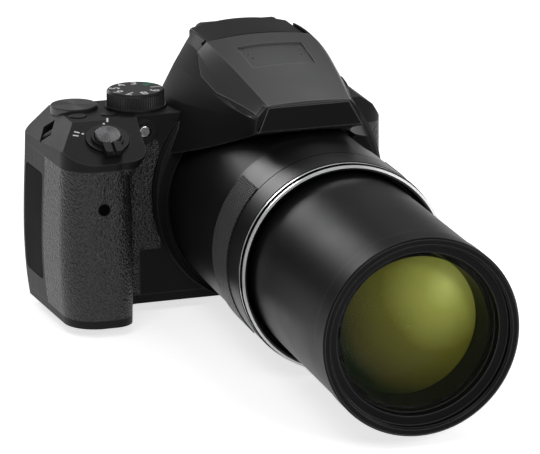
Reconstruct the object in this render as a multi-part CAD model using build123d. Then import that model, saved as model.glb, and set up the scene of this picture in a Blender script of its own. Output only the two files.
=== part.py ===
from build123d import *
import math
import os

# Bridge camera with a long zoom lens, lens fully extended, flash closed and monitor folded on the back.
# Millimetres. X runs to the right of someone facing the lens, the lens points along -Y, Z is up.
# The origin is the centre of the tripod socket's mouth, on the base, below the lens axis.

# Body, driving sizes
body_right = 48.2
body_left = -90.6
body_rear = 12.0
body_front = -18.0
deck_height = 76.2
lens_axis_height = 37.2
seam_height = 62.4
base_height = 3.5
wall = 2.0
fit_gap = 0.3
overrun = 5.0
side_corner = 6.5
rear_left_corner = 3.5
front_rear_split = -3.0

# Grip
grip_front = -44.8
grip_inner_root = -57.5
grip_inner_front = -62.4
grip_outer_front = -86.0
grip_nose_round = 7.5
grip_outer_round = 13.0
grip_root_round = 5.0
grip_swell = 1.7
swell_height = 34.0
swell_top_share = 0.25
rubber_thickness = 1.2

# Lip of the grip, where its top leans over toward the lens above the fingers
lip_reach = 7.5
lip_root_share = 0.58
lip_heights = (56.5, 60.0, 62.6, 66.2)
lip_reach_shares = (-0.16, 0.16, 0.62, 1.0)
lip_rear_left = -75.0

# Deck: flat over the back, falling over the grip, with a slanted side face
deck_rear_height = 75.2
deck_break = -20.5
deck_nose_height = 64.6
left_facet_low = 66.0
left_facet_width = 11.8
right_facet_low = 66.0
right_facet_mid_height = 72.6
right_facet_mid_width = 4.4
right_facet_width = 14.5
deck_crest = 79.5

# Hump: stations from the viewfinder forward to the nose over the lens
hump_half_width = 42.0
hump_top = 102.6
hump_rear = 12.0
hump_nose = -72.0
hump_low = 60.0
station_depth_shares = (0.0, 0.357, 0.68, 1.0)
station_width_shares = (
    (1.0, 0.80, 0.69, 0.575, 0.505),
    (1.0, 0.80, 0.675, 0.595, 0.50),
    (0.63, 0.61, 0.595, 0.568, 0.452),
    (0.51, 0.50, 0.487, 0.474, 0.386),
)
station_height_shares = (
    (0.0, 0.455, 0.655, 0.84, 0.945),
    (0.0, 0.455, 0.66, 0.82, 0.937),
    (0.22, 0.50, 0.60, 0.63, 0.845),
    (0.46, 0.53, 0.59, 0.62, 0.712),
)
station_crown_shares = (0.04, 0.045, 0.035, 0.016)

# Lens passage and collar
passage_radius = 41.6
collar_radius = 47.0
collar_rise = 5.5
collar_depth = 3.2
collar_lip = 1.2
collar_slope = 4.2

# Fixed barrel
barrel_radius = 39.6
barrel_wall = 1.7
barrel_root = -16.2
barrel_front = -114.0
web_thickness = 1.6
ring_seat_radius = 39.0
housing_radius = 32.2
housing_wall = 1.2
housing_rear = 1.5
flange_thickness = 1.2

# Control ring look-alike at the front of the fixed barrel
ring_radius = 40.2
ring_back = -75.8
ring_front = -111.6
ring_groove_width = 0.6
ring_groove_depth = 0.35
ring_groove_place = -98.2
ring_chamfer = 0.8
pad_back = -78.6
pad_front = -97.0
pad_height = 0.35
pad_low_angle = -42.0
pad_high_angle = 46.0

# Bright trim rings at the barrel's mouth
trim_width = 1.1
trim_radius = 40.0
trim_inner_radius = 38.2
trim_step = 0.35

# Moving barrel
zoom_radius = 36.0
zoom_wall = 1.3
zoom_front = -195.8
zoom_rear = -103.8
front_plane = -199.8
filter_outer_radius = 36.35
filter_thread_radius = 33.1
filter_thread_length = 3.2
filter_ring_back = -190.5
bezel_radius = 29.3
bezel_depth = 3.4
filter_chamfer = 0.7

# Cam barrel and its drive
cam_outer = 37.5
cam_inner = 36.4
cam_front = -106.0
cam_rear = -18.4
cam_web = 1.0
neck_outer = 28.6
neck_inner = 27.8
neck_rear = -8.0
gear_module = 0.8
neck_teeth = 74
pinion_teeth = 21
gear_back = -9.2
gear_front = -13.2
tooth_flank_share = 0.18
tooth_tip_share = 0.08
tooth_tip_height_share = 0.8
tooth_root_depth_share = 1.15
pinion_angle = 210.0
pinion_bore = 1.0
shaft_clearance = 0.05
motor_radius = 5.2
motor_front = -8.4
motor_rear = 1.5

# Optics
front_lens_radius = 29.0
front_lens_front = -194.9
front_lens_edge = 3.0
front_lens_bulge = 1.4
second_lens_radius = 26.5
second_lens_front = -181.5
second_lens_edge = 3.4
second_lens_bulge = 3.2
lens_cell_wall = 1.6
lens_cell_rear = -174.0
rod_radius = 1.2
rod_place = 24.0
rod_front = -84.0
carrier_radius = 27.4
carrier_wall = 1.4
variator_front = -78.0
variator_length = 10.0
variator_lens_radius = 17.0
focus_front = -24.0
focus_length = 6.0
focus_lens_radius = 12.0
iris_thickness = 1.2
iris_hole = 11.0
sensor_width = 9.0
sensor_height = 7.0
sensor_thickness = 1.0
sensor_plate_thickness = 1.5

# Flash lid, flash head and name plate
lid_rear = -8.0
lid_rear_half_width = 22.8
lid_gap = 0.35
lid_seam_heights = (96.4, 89.8, 87.0, 86.0)
lid_seam_depths = (-8.0, -20.0, -36.0, -73.5)
lid_wall = 1.8
hinge_depth = -10.2
hinge_height = 98.2
hinge_pin_radius = 0.8
hinge_knuckle_radius = 1.7
hinge_pin_half = 17.5
knuckle_inner = 8.0
knuckle_outer = 13.0
ear_outer = 17.5
plate_top_half = 15.9
plate_bottom_half = 20.6
plate_top = 89.6
plate_bottom = 80.4
plate_back = -71.2
plate_top_front = -72.4
plate_bottom_front = -74.4
plate_round = 1.0
flash_half_width = 13.5
flash_window_thickness = 1.2
flash_head_rear = -59.0
flash_head_low = 82.0
flash_head_high = 87.2
panel_half_rear = 13.2
panel_half_front = 12.4
panel_rear = -21.0
panel_front = -42.0
panel_depth = 0.7
mic_radius = 0.6
mic_half = 11.0
mic_spacing = 4.4
mic_count = 3
mic_first = -23.5

# Viewfinder
finder_half_width = 20.5
finder_front = -7.8
finder_rear = 18.6
finder_low = 82.0
finder_shoulder = 99.8
finder_top = 102.6
finder_round = 1.6
finder_wall = 1.6
cup_half_width = 17.4
cup_low = 83.6
cup_high = 101.2
cup_rear = 22.6
cup_round = 3.0
eye_window_half_width = 9.0
eye_window_height = 12.0
eyepiece_thickness = 2.5
diopter_radius = 3.0
diopter_length = 2.0
diopter_depth = 15.4
diopter_height = 91.0
diopter_spindle_radius = 1.0

# Deck controls
mode_dial_x = -48.8
mode_dial_y = -3.0
mode_dial_top = 83.0
mode_dial_radius = 11.3
mode_dial_lower_radius = 11.9
mode_dial_lower_height = 2.2
mode_dial_foot = 0.4
mode_dial_well = 74.4
dial_knurl_count = 72
dial_knurl_depth = 0.3
command_dial_x = -72.4
command_dial_y = 2.2
command_dial_radius = 9.2
command_dial_top = 77.4
command_dial_thickness = 3.0
dial_spindle_radius = 2.4
power_x = -74.2
power_y = -11.4
power_radius = 3.3
function_x = -62.2
function_y = -12.2
function_radius = 3.1
shutter_x = -67.9
shutter_y = -31.5
shutter_radius = 5.0
shutter_top = 3.0
shutter_cap_thickness = 1.8
shutter_shaft_radius = 1.8
lever_hub_radius = 3.0
lever_collar_radius = 6.3
lever_collar_height = 1.8
lever_radius = 8.4
lever_height = 0.9
lever_seat = 0.6
lever_tab_length = 2.6
lever_tab_width = 7.0
lever_tab_height = 2.4
lever_notch = 1.2
button_flange = 0.9
button_flange_thickness = 0.8
button_proud = 0.5
dial_clearance = 0.3

# Small front parts
lamp_x = -49.6
lamp_height = 69.6
lamp_bezel_radius = 4.7
lamp_radius = 2.6
lamp_proud = 1.6
ir_x = -73.4
ir_height = 47.8
ir_radius = 2.3
lug_depth = -7.6
lug_pocket_width = 6.0
lug_pocket_length = 10.5
lug_pocket_turn = -30.0
lug_pocket_depth = 3.2
lug_bar_radius = 0.75
lug_pocket_share = 0.58
strip_inner = -44.0
strip_low = 22.0
strip_high = 66.6
patch_inner = 36.5
patch_low = 6.0
patch_high = 65.0
patch_rear = 6.0

# Back of the camera
monitor_left = -38.0
monitor_right = 38.3
monitor_low = 5.0
monitor_high = 63.0
monitor_front = 7.9
monitor_rear = 13.8
monitor_round = 2.5
monitor_recess_gap = 0.6
recess_floor = 1.2
screen_half_width = 31.0
screen_half_height = 23.5
screen_depth = 1.6
swing_x = 43.6
swing_y = 10.8
swing_barrel_radius = 2.7
swing_pin_radius = 0.9
swing_low = 16.0
swing_high = 52.0
swing_pocket_front = 7.8
thumb_left = -86.0
thumb_right = -60.0
thumb_low = 44.0
thumb_high = 62.0
thumb_proud = 1.2
selector_x = -64.0
selector_height = 27.0
selector_radius = 8.6
selector_boss = 1.0
selector_boss_radius = 5.0
selector_thickness = 1.3
ok_radius = 3.6
ok_proud = 1.7
rear_button_radius = 2.6
swing_pin_end = 3.6
record_x = -48.4
record_height = 67.0
menu_x = -50.0
menu_height = 10.5
delete_x = -77.5
delete_height = 10.5
speaker_radius = 0.5
speaker_count = 5
speaker_spacing = 2.0
speaker_x = -22.0

# Grip interior and base
battery_left = -82.0
battery_width = 12.0
battery_front = -38.0
battery_depth = 34.0
battery_height = 46.0
holder_wall = 0.9
holder_gap = 0.3
door_left = -85.0
door_right = -64.2
door_front = -39.5
door_rear = 3.0
door_round = 3.0
door_thickness = 2.0
door_hinge_radius = 1.2
door_pin_radius = 0.5
door_knuckle_front = -28.0
door_knuckle_rear = -8.0
door_ear_length = 4.0
socket_radius = 7.0
socket_bore = 3.2
socket_length = 4.2
screw_head_radius = 1.9
screw_head_height = 0.9
screw_shank_radius = 0.8
screw_length = 3.6
screw_slot = 0.5

# Side door over the connectors
port_door_front = -13.5
port_door_rear = 7.0
port_door_low = 12.0
port_door_high = 55.0
port_door_thickness = 1.5
port_door_round = 2.5
port_width = 8.0
port_height = 3.2
port_wall = 0.4
port_heights = (24.0, 40.0)

# Circuit boards
board_thickness = 1.2
board_front = 3.3
chip_half = 6.5
chip_thickness = 1.0
board_left = -44.0
board_right = 40.0
board_low = 7.0
board_high = 60.0

# Side controls on the fixed barrel
side_lever_y = -50.0
side_lever_length = 14.0
side_lever_width = 7.0
side_lever_height = 2.0
flash_button_height = 82.5
flash_button_radius = 2.6

parts = {}


def block(low, high):
    size = [b - a for a, b in zip(low, high)]
    middle = [(a + b) / 2 for a, b in zip(low, high)]
    return Pos(*middle) * Box(*size)


def rod(start, end, radius):
    direction = Vector(*end) - Vector(*start)
    plane = Plane(origin=start, z_dir=direction)
    return extrude(plane * Circle(radius), amount=direction.length)


def lathe(outline):
    face = make_face(Polyline(*outline, close=True))
    turned = Pos(0, 0, lens_axis_height) * face
    return revolve(turned, axis=Axis((0, 0, lens_axis_height), (0, 1, 0)))


def tube(outer, inner, back, front):
    return lathe([(inner, back), (outer, back), (outer, front), (inner, front)])


def disc(radius, back, front):
    return tube(radius, 0, back, front)


def side_profile(points, left, right):
    """Outline given as (y, z), stretched along X."""
    plane = Plane(origin=(left, 0, 0), x_dir=(0, 1, 0), z_dir=(1, 0, 0))
    return extrude(plane * make_face(Polyline(*points, close=True)), amount=right - left)


def front_profile(points, front, back):
    """Outline given as (x, z), stretched along Y."""
    plane = Plane(origin=(0, back, 0), x_dir=(1, 0, 0), z_dir=(0, -1, 0))
    return extrude(plane * make_face(Polyline(*points, close=True)), amount=back - front)


def rounded_block(low, high, radius, axis):
    solid = block(low, high)
    return fillet(solid.edges().filter_by(axis), radius)


def around(angle, radius):
    """Place on a circle round the lens axis, as (x, z)."""
    turn = math.radians(angle)
    return radius * math.cos(turn), lens_axis_height + radius * math.sin(turn)


# Outer form of the body, and the same form set in by a wall


def plan_face(swell, inset):
    corners = [
        ((body_right, body_rear), side_corner),
        ((body_right, body_front), side_corner),
        ((grip_inner_root, body_front), grip_root_round),
        ((grip_inner_front, grip_front - swell), grip_nose_round),
        ((grip_outer_front - swell, grip_front - swell), grip_outer_round),
        ((body_left - swell, body_rear), rear_left_corner),
    ]
    face = make_face(Polyline(*[place for place, _ in corners], close=True))
    for place, radius in corners:
        corner = face.vertices().sort_by_distance((*place, 0))[0]
        face = fillet(corner, radius)
    if inset:
        face = offset(face, amount=-inset)
    return face


def plan_column(inset):
    levels = [
        (0, 0),
        (swell_height, grip_swell),
        (seam_height, grip_swell * swell_top_share),
        (deck_height + overrun, 0),
    ]
    return loft([Pos(0, 0, height) * plan_face(swell, inset) for height, swell in levels])


def lip_column(inset):
    """Upper part of the grip's inner side, drawn out toward the lens and set in by a wall."""
    sections = []
    levels = [(height + inset, share) for height, share in zip(lip_heights, lip_reach_shares)]
    for height, share in levels + [(deck_height + overrun, 1)]:
        reach = lip_reach * share
        nose = (grip_inner_front + reach, grip_front + fit_gap)
        root = (grip_inner_root + reach * lip_root_share, body_front + wall)
        outline = Polyline(root, nose, (lip_rear_left, grip_front + fit_gap),
                           (lip_rear_left, body_front + wall),
                           close=True)
        face = make_face(outline)
        face = fillet(face.vertices().sort_by_distance((*nose, 0))[0], grip_nose_round)
        if inset:
            face = offset(face, amount=-inset)
        sections.append(Pos(0, 0, height) * face)
    return loft(sections, ruled=True)


def deck_side_points():
    return [
        (body_rear + overrun, 0),
        (body_rear + overrun, deck_rear_height),
        (deck_break, deck_height),
        (grip_front - grip_swell, deck_nose_height),
        (grip_front - overrun, deck_nose_height - overrun),
        (grip_front - overrun, 0),
    ]


def deck_front_points():
    outer_left = body_left - grip_swell - overrun
    slope = (deck_height - left_facet_low) / left_facet_width
    return [
        (outer_left, 0),
        (outer_left, left_facet_low - (grip_swell + overrun) * slope),
        (body_left + left_facet_width, deck_height),
        (0, deck_crest),
        (body_right - right_facet_width, deck_crest),
        (body_right - right_facet_mid_width, right_facet_mid_height),
        (body_right, right_facet_low),
        (body_right + overrun, right_facet_low - overrun),
        (body_right + overrun, 0),
    ]


def inset_outline(plane, points, inset):
    face = make_face(Polyline(*points, close=True))
    if inset:
        face = offset(face, amount=-inset, kind=Kind.INTERSECTION)
    return plane * face


def body_form(inset):
    side = Plane(origin=(body_left - overrun * 2, 0, 0), x_dir=(0, 1, 0), z_dir=(1, 0, 0))
    front = Plane(origin=(0, body_rear + overrun * 2, 0), x_dir=(1, 0, 0), z_dir=(0, -1, 0))
    width = body_right - body_left + overrun * 4
    depth = body_rear - grip_front + overrun * 4
    form = plan_column(inset) + lip_column(inset)
    form = form & extrude(inset_outline(side, deck_side_points(), inset), amount=width)
    return form & extrude(inset_outline(front, deck_front_points(), inset), amount=depth)


def hump_section(station, inset):
    depth = hump_rear + (hump_nose - hump_rear) * station_depth_shares[station]
    if station == len(station_depth_shares) - 1:
        depth += inset
    if station == 0:
        depth -= inset
    height = hump_top - hump_low
    widths = [hump_half_width * share - inset for share in station_width_shares[station]]
    heights = [hump_low + height * share - inset for share in station_height_shares[station]]
    crown = heights[-1] + height * station_crown_shares[station]
    right = list(zip(widths, heights))
    left = [(-x, z) for x, z in reversed(right)]
    plane = Plane(origin=(0, depth, 0), x_dir=(1, 0, 0), z_dir=(0, -1, 0))
    top = ThreePointArc(right[-1], (0, crown), left[0])
    sides = Polyline(*left, *right)
    return plane * make_face([top, *sides.edges()])


def hump_form(inset):
    return loft([hump_section(station, inset) for station in range(len(station_depth_shares))])


def passage(radius):
    return disc(radius, barrel_root, hump_nose - overrun)


def barrel_web():
    """Wall of the front cover behind the fixed barrel, which is fixed to it."""
    half = body_right - wall
    low = (-half, barrel_root, base_height)
    high = (half, barrel_root + web_thickness, mode_dial_well - wall - fit_gap)
    web = block(low, high) & outer_body
    crown = disc(passage_radius + wall / 2, barrel_root + web_thickness, barrel_root)
    web += (crown & (outer_body + hump_outer)) - base_zone()
    return web - disc(housing_radius, body_rear, body_front)


def lid_sweep():
    """Space that the rear edge of the flash lid sweeps through as it turns."""
    half = lid_rear_half_width
    reach = math.hypot(lid_rear - hinge_depth, hump_top - hinge_height)
    return rod((-half, hinge_depth, hinge_height), (half, hinge_depth, hinge_height), reach)


def lid_front_step():
    """Back of the strip of the hump cover that stands behind the name plate."""
    return plate_back + lid_gap + fit_gap * 2


def lid_swing_front(height):
    """Foremost place at a height for a piece of the lid that clears that strip as the lid opens."""
    edge_depth = hinge_depth - lid_front_step() - fit_gap
    edge_drop = hinge_height - plate_top - fit_gap
    reach = math.hypot(edge_depth, edge_drop)
    return hinge_depth - math.sqrt(reach ** 2 - (hinge_height - height) ** 2)


def lid_zone(gap, front_step):
    seam = list(zip(lid_seam_depths, lid_seam_heights))
    outline = [
        (lid_rear - gap, hump_top + overrun),
        (seam[0][0] - gap, seam[0][1] + gap),
        (seam[1][0], seam[1][1] + gap),
        (seam[2][0], seam[2][1] + gap),
        (front_step, seam[3][1] + gap),
        (front_step, plate_top + fit_gap),
        (hump_nose - overrun, plate_top + fit_gap),
        (hump_nose - overrun, hump_top + overrun),
    ]
    return side_profile(outline, -hump_half_width, hump_half_width)


def finder_zone(gap):
    low = (-finder_half_width - gap, lid_rear, finder_low)
    high = (finder_half_width + gap, finder_rear, finder_top)
    return block(low, high)


outer_body = body_form(0)
inner_body = body_form(wall)
hump_outer = hump_form(0)
hump_inner = hump_form(wall) - passage(passage_radius + wall)
body_shell = (outer_body - inner_body - hump_inner) - passage(passage_radius)
hump_shell = (hump_outer - hump_inner - outer_body) - passage(passage_radius)


# Holes that several covers share


def shutter_plane(lift):
    """Plane on the falling part of the deck; lift moves it along its normal."""
    run = deck_break - (grip_front - grip_swell)
    drop = deck_height - deck_nose_height
    tilt = math.degrees(math.atan2(drop, run))
    height = deck_height - (deck_break - shutter_y) * drop / run
    frame = Location((shutter_x, shutter_y, height), (tilt, 0, 0))
    return frame * Pos(0, 0, lift)


def deck_level(y):
    """Height of the deck's flat part, which falls a little to the back."""
    fall = (deck_height - deck_rear_height) / (body_rear + overrun - deck_break)
    return deck_height - (y - deck_break) * fall


def recess_block():
    low = (monitor_left - monitor_recess_gap, monitor_front - monitor_recess_gap / 2,
           monitor_low - monitor_recess_gap)
    high = (monitor_right + monitor_recess_gap, body_rear + overrun, monitor_high + monitor_recess_gap)
    return block(low, high)


def recess_walls():
    low = (monitor_left - monitor_recess_gap - wall, monitor_front - monitor_recess_gap / 2 - recess_floor,
           monitor_low - monitor_recess_gap - wall)
    high = (body_right - wall / 2, body_rear, monitor_high + monitor_recess_gap + wall)
    return (block(low, high) & outer_body) - recess_block()


def swing_pocket():
    low = (swing_x - overrun, swing_pocket_front, swing_low - fit_gap)
    high = (body_right + overrun, body_rear + overrun, swing_high + fit_gap)
    return block(low, high)


def flash_button_place():
    """Place and outward direction of the flash button, on the hump's side at its second station."""
    corners = list(zip(station_width_shares[1], station_height_shares[1]))
    low, high = [Vector(hump_half_width * width, 0, hump_low + (hump_top - hump_low) * height)
                 for width, height in corners[1:3]]
    slope = (high - low).normalized()
    along = (flash_button_height - low.Z) / slope.Z
    depth = hump_rear + (hump_nose - hump_rear) * station_depth_shares[1]
    place = low + slope * along + Vector(0, depth, 0)
    return place, Vector(slope.Z, 0, -slope.X)


def rear_button_places():
    return {
        "record_button": (record_x, record_height),
        "menu_button": (menu_x, menu_height),
        "delete_button": (delete_x, delete_height),
    }


def deck_holes():
    holes = rod((mode_dial_x, mode_dial_y, mode_dial_well),
                (mode_dial_x, mode_dial_y, hump_top), mode_dial_lower_radius + dial_clearance)
    holes += rod((mode_dial_x, mode_dial_y, seam_height), (mode_dial_x, mode_dial_y, hump_top),
                 dial_spindle_radius + shaft_clearance)
    command_floor = command_dial_top - command_dial_thickness - dial_clearance
    holes += rod((command_dial_x, command_dial_y, command_floor),
                 (command_dial_x, command_dial_y, hump_top), command_dial_radius + dial_clearance)
    holes += rod((command_dial_x, command_dial_y, seam_height), (command_dial_x, command_dial_y, hump_top),
                 dial_spindle_radius + shaft_clearance)
    for x, y, radius in ((power_x, power_y, power_radius), (function_x, function_y, function_radius)):
        holes += rod((x, y, seam_height), (x, y, hump_top), radius + dial_clearance)
        holes += rod((x, y, seam_height), (x, y, deck_level(y) - wall),
                     radius + button_flange + dial_clearance)
    shaft = Cylinder(shutter_shaft_radius + fit_gap, overrun * 4)
    seat = Pos(0, 0, overrun / 2) * Cylinder(lever_radius + dial_clearance, overrun)
    return holes + shutter_plane(0) * shaft + shutter_plane(-lever_seat) * seat


def rear_holes():
    holes = rod((selector_x, 0, selector_height), (selector_x, body_rear + overrun, selector_height),
                ok_radius + dial_clearance)
    for x, height in rear_button_places().values():
        holes += rod((x, 0, height), (x, body_rear + overrun, height), rear_button_radius + dial_clearance)
    for count in range(speaker_count):
        x = speaker_x + (count - (speaker_count - 1) / 2) * speaker_spacing
        holes += rod((x, front_rear_split, seam_height + wall * 2),
                     (x, body_rear + overrun, seam_height + wall * 2),
                     speaker_radius)
    return holes


# Covers


def base_zone():
    low = (body_left - overrun, grip_front - overrun, 0)
    high = (body_right + overrun, body_rear + overrun, base_height)
    return block(low, high)


def top_zone():
    split_left = grip_inner_root + grip_root_round
    left = block((body_left - overrun, grip_front - overrun, seam_height),
                 (split_left, body_rear + overrun, deck_height + overrun))
    strip = block((split_left, body_front + wall, mode_dial_well - wall),
                  (-hump_half_width / 2, body_rear + overrun, deck_height + overrun))
    return left + strip


def dial_deck():
    """Floor below the two dials, which the deck's skin alone would leave open."""
    mode_floor = rod((mode_dial_x, mode_dial_y, mode_dial_well - wall),
                     (mode_dial_x, mode_dial_y, deck_height), mode_dial_lower_radius + wall)
    command_low = command_dial_top - command_dial_thickness - dial_clearance - wall / 2
    command_floor = rod((command_dial_x, command_dial_y, command_low),
                        (command_dial_x, command_dial_y, deck_height), command_dial_radius + wall)
    lever_floor = shutter_plane(-wall) * Cylinder(lever_radius + wall, wall * 2)
    return (mode_floor + command_floor + lever_floor) & outer_body


def lug_pocket(side):
    if side < 0:
        x = body_left + left_facet_width * (1 - lug_pocket_share)
        angle = math.degrees(math.atan2(deck_height - left_facet_low, left_facet_width))
    else:
        x = body_right - right_facet_mid_width / 2
        rise = right_facet_mid_height - right_facet_low
        angle = -math.degrees(math.atan2(rise, right_facet_mid_width))
    height = left_facet_low + (deck_height - left_facet_low) * (1 - lug_pocket_share)
    if side > 0:
        height = (right_facet_low + right_facet_mid_height) / 2
    turn = lug_pocket_turn if side < 0 else 0
    return Location((x, lug_depth, height), (0, -angle, 0)) * Rot(0, 0, turn)


def lug_cavity(side):
    return lug_pocket(side) * Box(lug_pocket_width, lug_pocket_length, lug_pocket_depth * 2)


def lug_walls(side, body):
    box = lug_pocket(side) * Box(lug_pocket_width + wall * 2, lug_pocket_length + wall * 2,
                                 (lug_pocket_depth + wall) * 2)
    return box & body


def strap_lugs():
    bars = []
    for side in (-1, 1):
        middle = lug_pocket(side) * Pos(0, 0, -lug_bar_radius * 2)
        half = lug_pocket_width / 2 + wall / 2
        bar = middle * Rot(0, 90, 0) * Cylinder(lug_bar_radius, half * 2)
        bars.append(bar)
    return bars


def grip_skin():
    shell = outer_body - body_form(rubber_thickness)
    split_right = grip_inner_root + grip_root_round
    front = block((body_left - overrun, grip_front - overrun, base_height),
                  (split_right, port_door_front - wall, seam_height))
    skin = shell & front
    return skin - rod((ir_x, grip_front - overrun, ir_height), (ir_x, grip_front + overrun, ir_height),
                      ir_radius + fit_gap)


def strip_skin():
    split_left = grip_inner_root + grip_root_round
    low = (split_left, body_front - overrun, strip_low)
    high = (strip_inner, body_front + rubber_thickness, strip_high)
    strip = block(low, high)
    width = strip_inner - split_left
    strip = fillet(strip.edges().filter_by(Axis.Y).group_by(Axis.Z)[-1], width * 2 / 5)
    strip = (strip & outer_body) - collar_solid(fit_gap)
    return strip - rod((lamp_x, body_front - overrun, lamp_height),
                       (lamp_x, body_front + overrun, lamp_height),
                       lamp_bezel_radius + fit_gap)


def side_patch():
    shell = outer_body - body_form(rubber_thickness)
    zone = block((patch_inner, body_front - overrun, patch_low),
                 (body_right + overrun, patch_rear, patch_high))
    return (shell & zone) - collar_solid(fit_gap) - passage(passage_radius)


def collar_solid(gap):
    plane = Plane(origin=(0, body_front, lens_axis_height + collar_rise), x_dir=(1, 0, 0), z_dir=(0, -1, 0))
    flare = extrude(plane * Circle(collar_radius + gap), amount=collar_depth)
    if not gap:
        flare = chamfer(flare.edges().group_by(Axis.Y)[0], collar_lip)
    throat = lathe([(0, body_front + overrun), (passage_radius, body_front + overrun),
                    (passage_radius, body_front + collar_lip - collar_depth),
                    (passage_radius + collar_slope, body_front - collar_depth),
                    (passage_radius + collar_slope, body_front - overrun * 2), (0, body_front - overrun * 2)])
    flare = flare - throat
    ground = block((-collar_radius * 2, body_front - overrun * 2, -collar_radius),
                   (collar_radius * 2, body_front + overrun, base_height / 4))
    return flare - ground - hump_outer


def lamp_bezel():
    """Raised ring of the front cover round the lamp."""
    ring = rod((lamp_x, body_front, lamp_height), (lamp_x, body_front - lamp_proud, lamp_height),
               lamp_bezel_radius)
    return chamfer(ring.edges().group_by(Axis.Y)[0], lamp_proud / 3)


def lamp_hole():
    return rod((lamp_x, body_front - overrun, lamp_height), (lamp_x, body_front + wall * 2, lamp_height),
               lamp_radius)


def port_cut():
    low = (body_left - overrun, port_door_front, port_door_low)
    high = (body_left + wall * 2, port_door_rear, port_door_high)
    return rounded_block(low, high, port_door_round, Axis.X)


def battery_cut():
    low = (door_left, door_front, -overrun)
    high = (door_right, door_rear, base_height)
    return rounded_block(low, high, door_round, Axis.Z)


def screw_places():
    inset = wall * 2 + screw_head_radius
    return [
        (body_right - inset, body_rear - inset),
        (body_right - inset, body_front + inset),
        (door_right + inset, body_rear - inset),
        (door_right + inset, body_front + inset),
    ]


def screw_holes():
    holes = Part()
    for x, y in screw_places():
        holes += rod((x, y, -overrun), (x, y, screw_head_height), screw_head_radius)
        holes += rod((x, y, 0), (x, y, screw_length), screw_shank_radius)
    return holes


def case_screws():
    screws = []
    for x, y in screw_places():
        screw = rod((x, y, fit_gap / 2), (x, y, screw_head_height), screw_head_radius)
        screw += rod((x, y, screw_head_height), (x, y, screw_length), screw_shank_radius)
        for long, short in ((screw_head_radius, screw_slot / 2), (screw_slot / 2, screw_head_radius)):
            low = (x - long * 2 / 3, y - short * 2 / 3, 0)
            high = (x + long * 2 / 3, y + short * 2 / 3, screw_head_height * 2 / 3)
            screw -= block(low, high)
        screws.append(screw)
    return screws


def screw_posts():
    posts = Part()
    for x, y in screw_places():
        posts += rod((x, y, base_height), (x, y, base_height + screw_length), screw_head_radius)
    return posts & inner_body


def main_solid(shape):
    """The one large solid of a cut shape, without the slivers that a cut leaves."""
    return Part() + sorted(shape.solids(), key=lambda solid: solid.volume)[-1]


def covers():
    grip_rubber = grip_skin()
    plate_rubber = strip_skin()
    side_rubber = side_patch()
    skins = grip_rubber + plate_rubber + side_rubber
    lugs = strap_lugs()
    ir_hole = rod((ir_x, grip_front - overrun, ir_height), (ir_x, grip_front + overrun, ir_height), ir_radius)
    body = body_shell + dial_deck() + screw_posts()
    for side in (-1, 1):
        body = body + lug_walls(side, outer_body) - lug_cavity(side)
    body = body - deck_holes() - port_cut() - battery_cut() - recess_block() + door_ears() + lever_hub()
    body = body - lamp_hole() - hinge_pin_solids()
    body = body - ir_hole - swing_pocket() - screw_holes()
    for lug in lugs:
        body = body - lug
    base_cover = (body & base_zone()) - rod((0, 0, -overrun), (0, 0, overrun), socket_radius)
    middle = body - base_zone() - top_zone() - skins
    split = block((body_left - overrun * 2, grip_front - overrun * 2, 0),
                  (body_right + overrun * 2, front_rear_split, hump_top + overrun))
    recess = recess_walls() - swing_pocket() - base_zone()
    parts["grip_rubber"] = main_solid(grip_rubber + plate_rubber)
    parts["side_rubber"] = side_rubber
    parts["strap_lugs"] = lugs
    parts["case_screws"] = case_screws()
    parts["base_cover"] = main_solid(base_cover)
    front_cover = (middle & split) + (barrel_web() - skins) + collar_solid(0) + (lamp_bezel() - lamp_hole())
    parts["front_cover"] = main_solid(front_cover - disc(housing_radius, front_rear_split, body_front))
    parts["top_cover"] = main_solid((body & top_zone()) - parts["front_cover"])
    boss = tube_rear(selector_x, selector_height, selector_boss_radius, body_rear - wall,
                     body_rear + selector_boss)
    rear_cover = (middle - split) + recess + boss - rear_holes() - hinge_pin_solids()
    socket = rod((0, 0, 0), (0, 0, socket_length), socket_radius)
    parts["rear_cover"] = main_solid(rear_cover - screw_holes() - socket)
    place, out = flash_button_place()
    flash_button_hole = rod(tuple(place - out * wall * 3), tuple(place + out * overrun),
                            flash_button_radius + dial_clearance)
    dial_wall = rod((mode_dial_x, mode_dial_y, mode_dial_well),
                    (mode_dial_x, mode_dial_y, mode_dial_top + wall),
                    mode_dial_lower_radius + dial_clearance + wall)
    hump_cover = hump_shell + ((dial_wall & hump_outer) - outer_body) - deck_holes()
    hump_cover = hump_cover - lid_zone(0, lid_front_step()) - finder_zone(0) - plate_zone(0)
    hump_cover = hump_cover - flash_button_hole - lid_sweep()
    ears = hinge_ears() - hinge_bore(hinge_pin_radius)
    parts["hump_cover"] = main_solid(hump_cover + (ears & hump_inner))


# Lens


def toothed_disc(teeth, thickness, bore):
    """Spur gear in its own plane, with slim straight-sided teeth that leave backlash."""
    pitch_radius = gear_module * teeth / 2
    root = pitch_radius - gear_module * tooth_root_depth_share
    tip = pitch_radius + gear_module * tooth_tip_height_share
    step = 2 * math.pi / teeth
    points = []
    for tooth in range(teeth):
        middle = tooth * step
        for radius, turn in ((root, -tooth_flank_share), (tip, -tooth_tip_share),
                             (tip, tooth_tip_share), (root, tooth_flank_share)):
            angle = middle + turn * step
            points.append((radius * math.cos(angle), radius * math.sin(angle)))
    face = make_face(Polyline(*points, close=True)) - Circle(bore)
    return extrude(face, amount=thickness)


def gear_at(x, z, teeth, bore, turn):
    """Gear facing the lens, with the middle of a tooth at the angle turn as seen from the front."""
    plane = Plane(origin=(x, gear_back, z), x_dir=(1, 0, 0), z_dir=(0, -1, 0))
    return plane * Rot(0, 0, turn) * toothed_disc(teeth, gear_back - gear_front, bore)


def pinion_place():
    distance = gear_module * (neck_teeth + pinion_teeth) / 2
    return around(pinion_angle, distance)


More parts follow.
